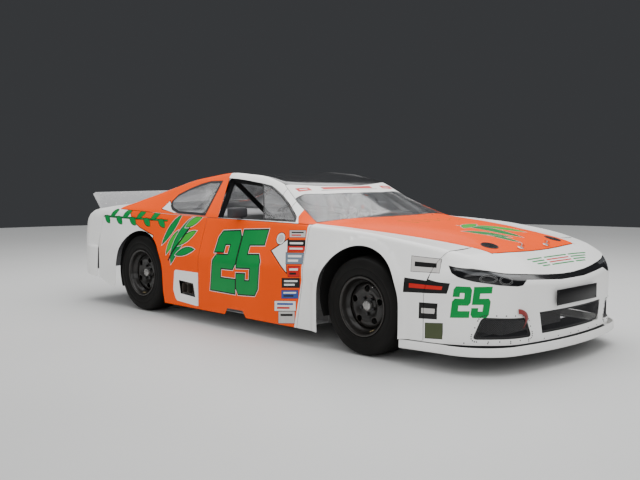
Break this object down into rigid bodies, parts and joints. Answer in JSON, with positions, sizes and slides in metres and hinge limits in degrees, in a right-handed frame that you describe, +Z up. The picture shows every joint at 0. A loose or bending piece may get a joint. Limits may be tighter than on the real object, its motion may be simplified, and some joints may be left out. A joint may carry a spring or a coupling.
{
  "type": "stock car",
  "caption": "full-size tube-frame racing coupe with composite panels, steerable front wheels, opening hood and deck lid, roll cage and rear spoiler",
  "frame": {"origin": "on the ground, at the middle of the length and width", "axes": "+X forward, +Y to the car's left, +Z up"},
  "size_m": [5.072, 1.9408, 1.2799],
  "materials": {
    "paint_orange": "gloss paint over glass fibre",
    "paint_white": "gloss paint over glass fibre",
    "roof_black": "gloss black film",
    "glazing": "clear polycarbonate",
    "black_plastic": "satin black plastic",
    "mesh": "black mesh",
    "aluminium_sheet": "mill finish sheet",
    "frame_grey": "grey enamel on steel tube",
    "axle_steel": "black enamel on steel",
    "engine_iron": "cast iron",
    "seat_black": "black fabric on a shell",
    "wheel_black": "gloss black steel",
    "tyre": "slick tread"
  },
  "bodies": {
    "body": {"chassis_frame": "frame_grey", "control_arms": "axle_steel", "dashboard": "black_plastic", "door_bars": "frame_grey", "door_mirrors": "black_plastic", "door_panel_left": "paint_orange", "door_panel_right": "paint_orange", "driver_seat": "seat_black", "engine_block": "engine_iron", "exhaust_outlets": "axle_steel", "fender_left": "paint_white", "fender_right": "paint_white", "floor_and_bulkheads": "aluminium_sheet", "front_bumper": "paint_white", "front_clip": "frame_grey", "fuel_cell": "axle_steel", "grille_screens": "mesh", "light_band": "black_plastic", "main_hoop": "frame_grey", "nose_plate": "black_plastic", "quarter_panel_left": "paint_orange", "quarter_panel_right": "paint_orange", "radiator": "aluminium_sheet", "rear_axle": "axle_steel", "rear_bumper": "paint_white", "rear_window": "glazing", "roll_cage": "frame_grey", "roof_and_pillars": "roof_black", "side_windows": "glazing", "splitter": "paint_white", "windshield": "glazing"},
    "hood": {"hood": "paint_orange"},
    "deck_lid": {"deck_lid": "paint_white", "spoiler": "aluminium_sheet"},
    "steering_wheel": {"steering_wheel": "black_plastic"},
    "knuckle_left": {"knuckle_left": "axle_steel"},
    "wheel_front_left": {"rim_front_left": "wheel_black", "tyre_front_left": "tyre"},
    "wheel_rear_left": {"rim_rear_left": "wheel_black", "tyre_rear_left": "tyre"},
    "knuckle_right": {"knuckle_right": "axle_steel"},
    "wheel_front_right": {"rim_front_right": "wheel_black", "tyre_front_right": "tyre"},
    "wheel_rear_right": {"rim_rear_right": "wheel_black", "tyre_rear_right": "tyre"}
  },
  "joints": [
    {"name": "hood_open", "type": "hinge", "parent": "body", "child": "hood", "pos_m": [0.798, 0, 0.93], "axis": [0, -1, 0], "range_deg": [0, 55]},
    {"name": "deck_lid_open", "type": "hinge", "parent": "body", "child": "deck_lid", "pos_m": [-1.797, 0, 0.974], "axis": [0, 1, 0], "range_deg": [0, 45]},
    {"name": "steer_left", "type": "hinge", "parent": "body", "child": "knuckle_left", "pos_m": [1.39, 0.7, 0.349], "axis": [0, 0, 1], "range_deg": [-22, 22]},
    {"name": "steer_right", "type": "hinge", "parent": "body", "child": "knuckle_right", "pos_m": [1.39, -0.7, 0.349], "axis": [0, 0, 1], "range_deg": [-22, 22]},
    {"name": "steering_wheel_turn", "type": "hinge", "parent": "body", "child": "steering_wheel", "pos_m": [0.19, 0.33, 0.8], "axis": [-0.9511, 0, 0.309], "range_deg": [-264, 264]},
    {"name": "wheel_front_left_spin", "type": "hinge", "parent": "knuckle_left", "child": "wheel_front_left", "pos_m": [1.39, 0.79, 0.349], "axis": [0, 1, 0], "continuous": true},
    {"name": "wheel_rear_left_spin", "type": "hinge", "parent": "body", "child": "wheel_rear_left", "pos_m": [-1.35, 0.79, 0.349], "axis": [0, 1, 0], "continuous": true},
    {"name": "wheel_front_right_spin", "type": "hinge", "parent": "knuckle_right", "child": "wheel_front_right", "pos_m": [1.39, -0.79, 0.349], "axis": [0, 1, 0], "continuous": true},
    {"name": "wheel_rear_right_spin", "type": "hinge", "parent": "body", "child": "wheel_rear_right", "pos_m": [-1.35, -0.79, 0.349], "axis": [0, 1, 0], "continuous": true}
  ],
  "couplings": [
    {"joint": "steer_right", "follows": "steer_left", "ratio": 1},
    {"joint": "steering_wheel_turn", "follows": "steer_left", "ratio": 12}
  ]
}
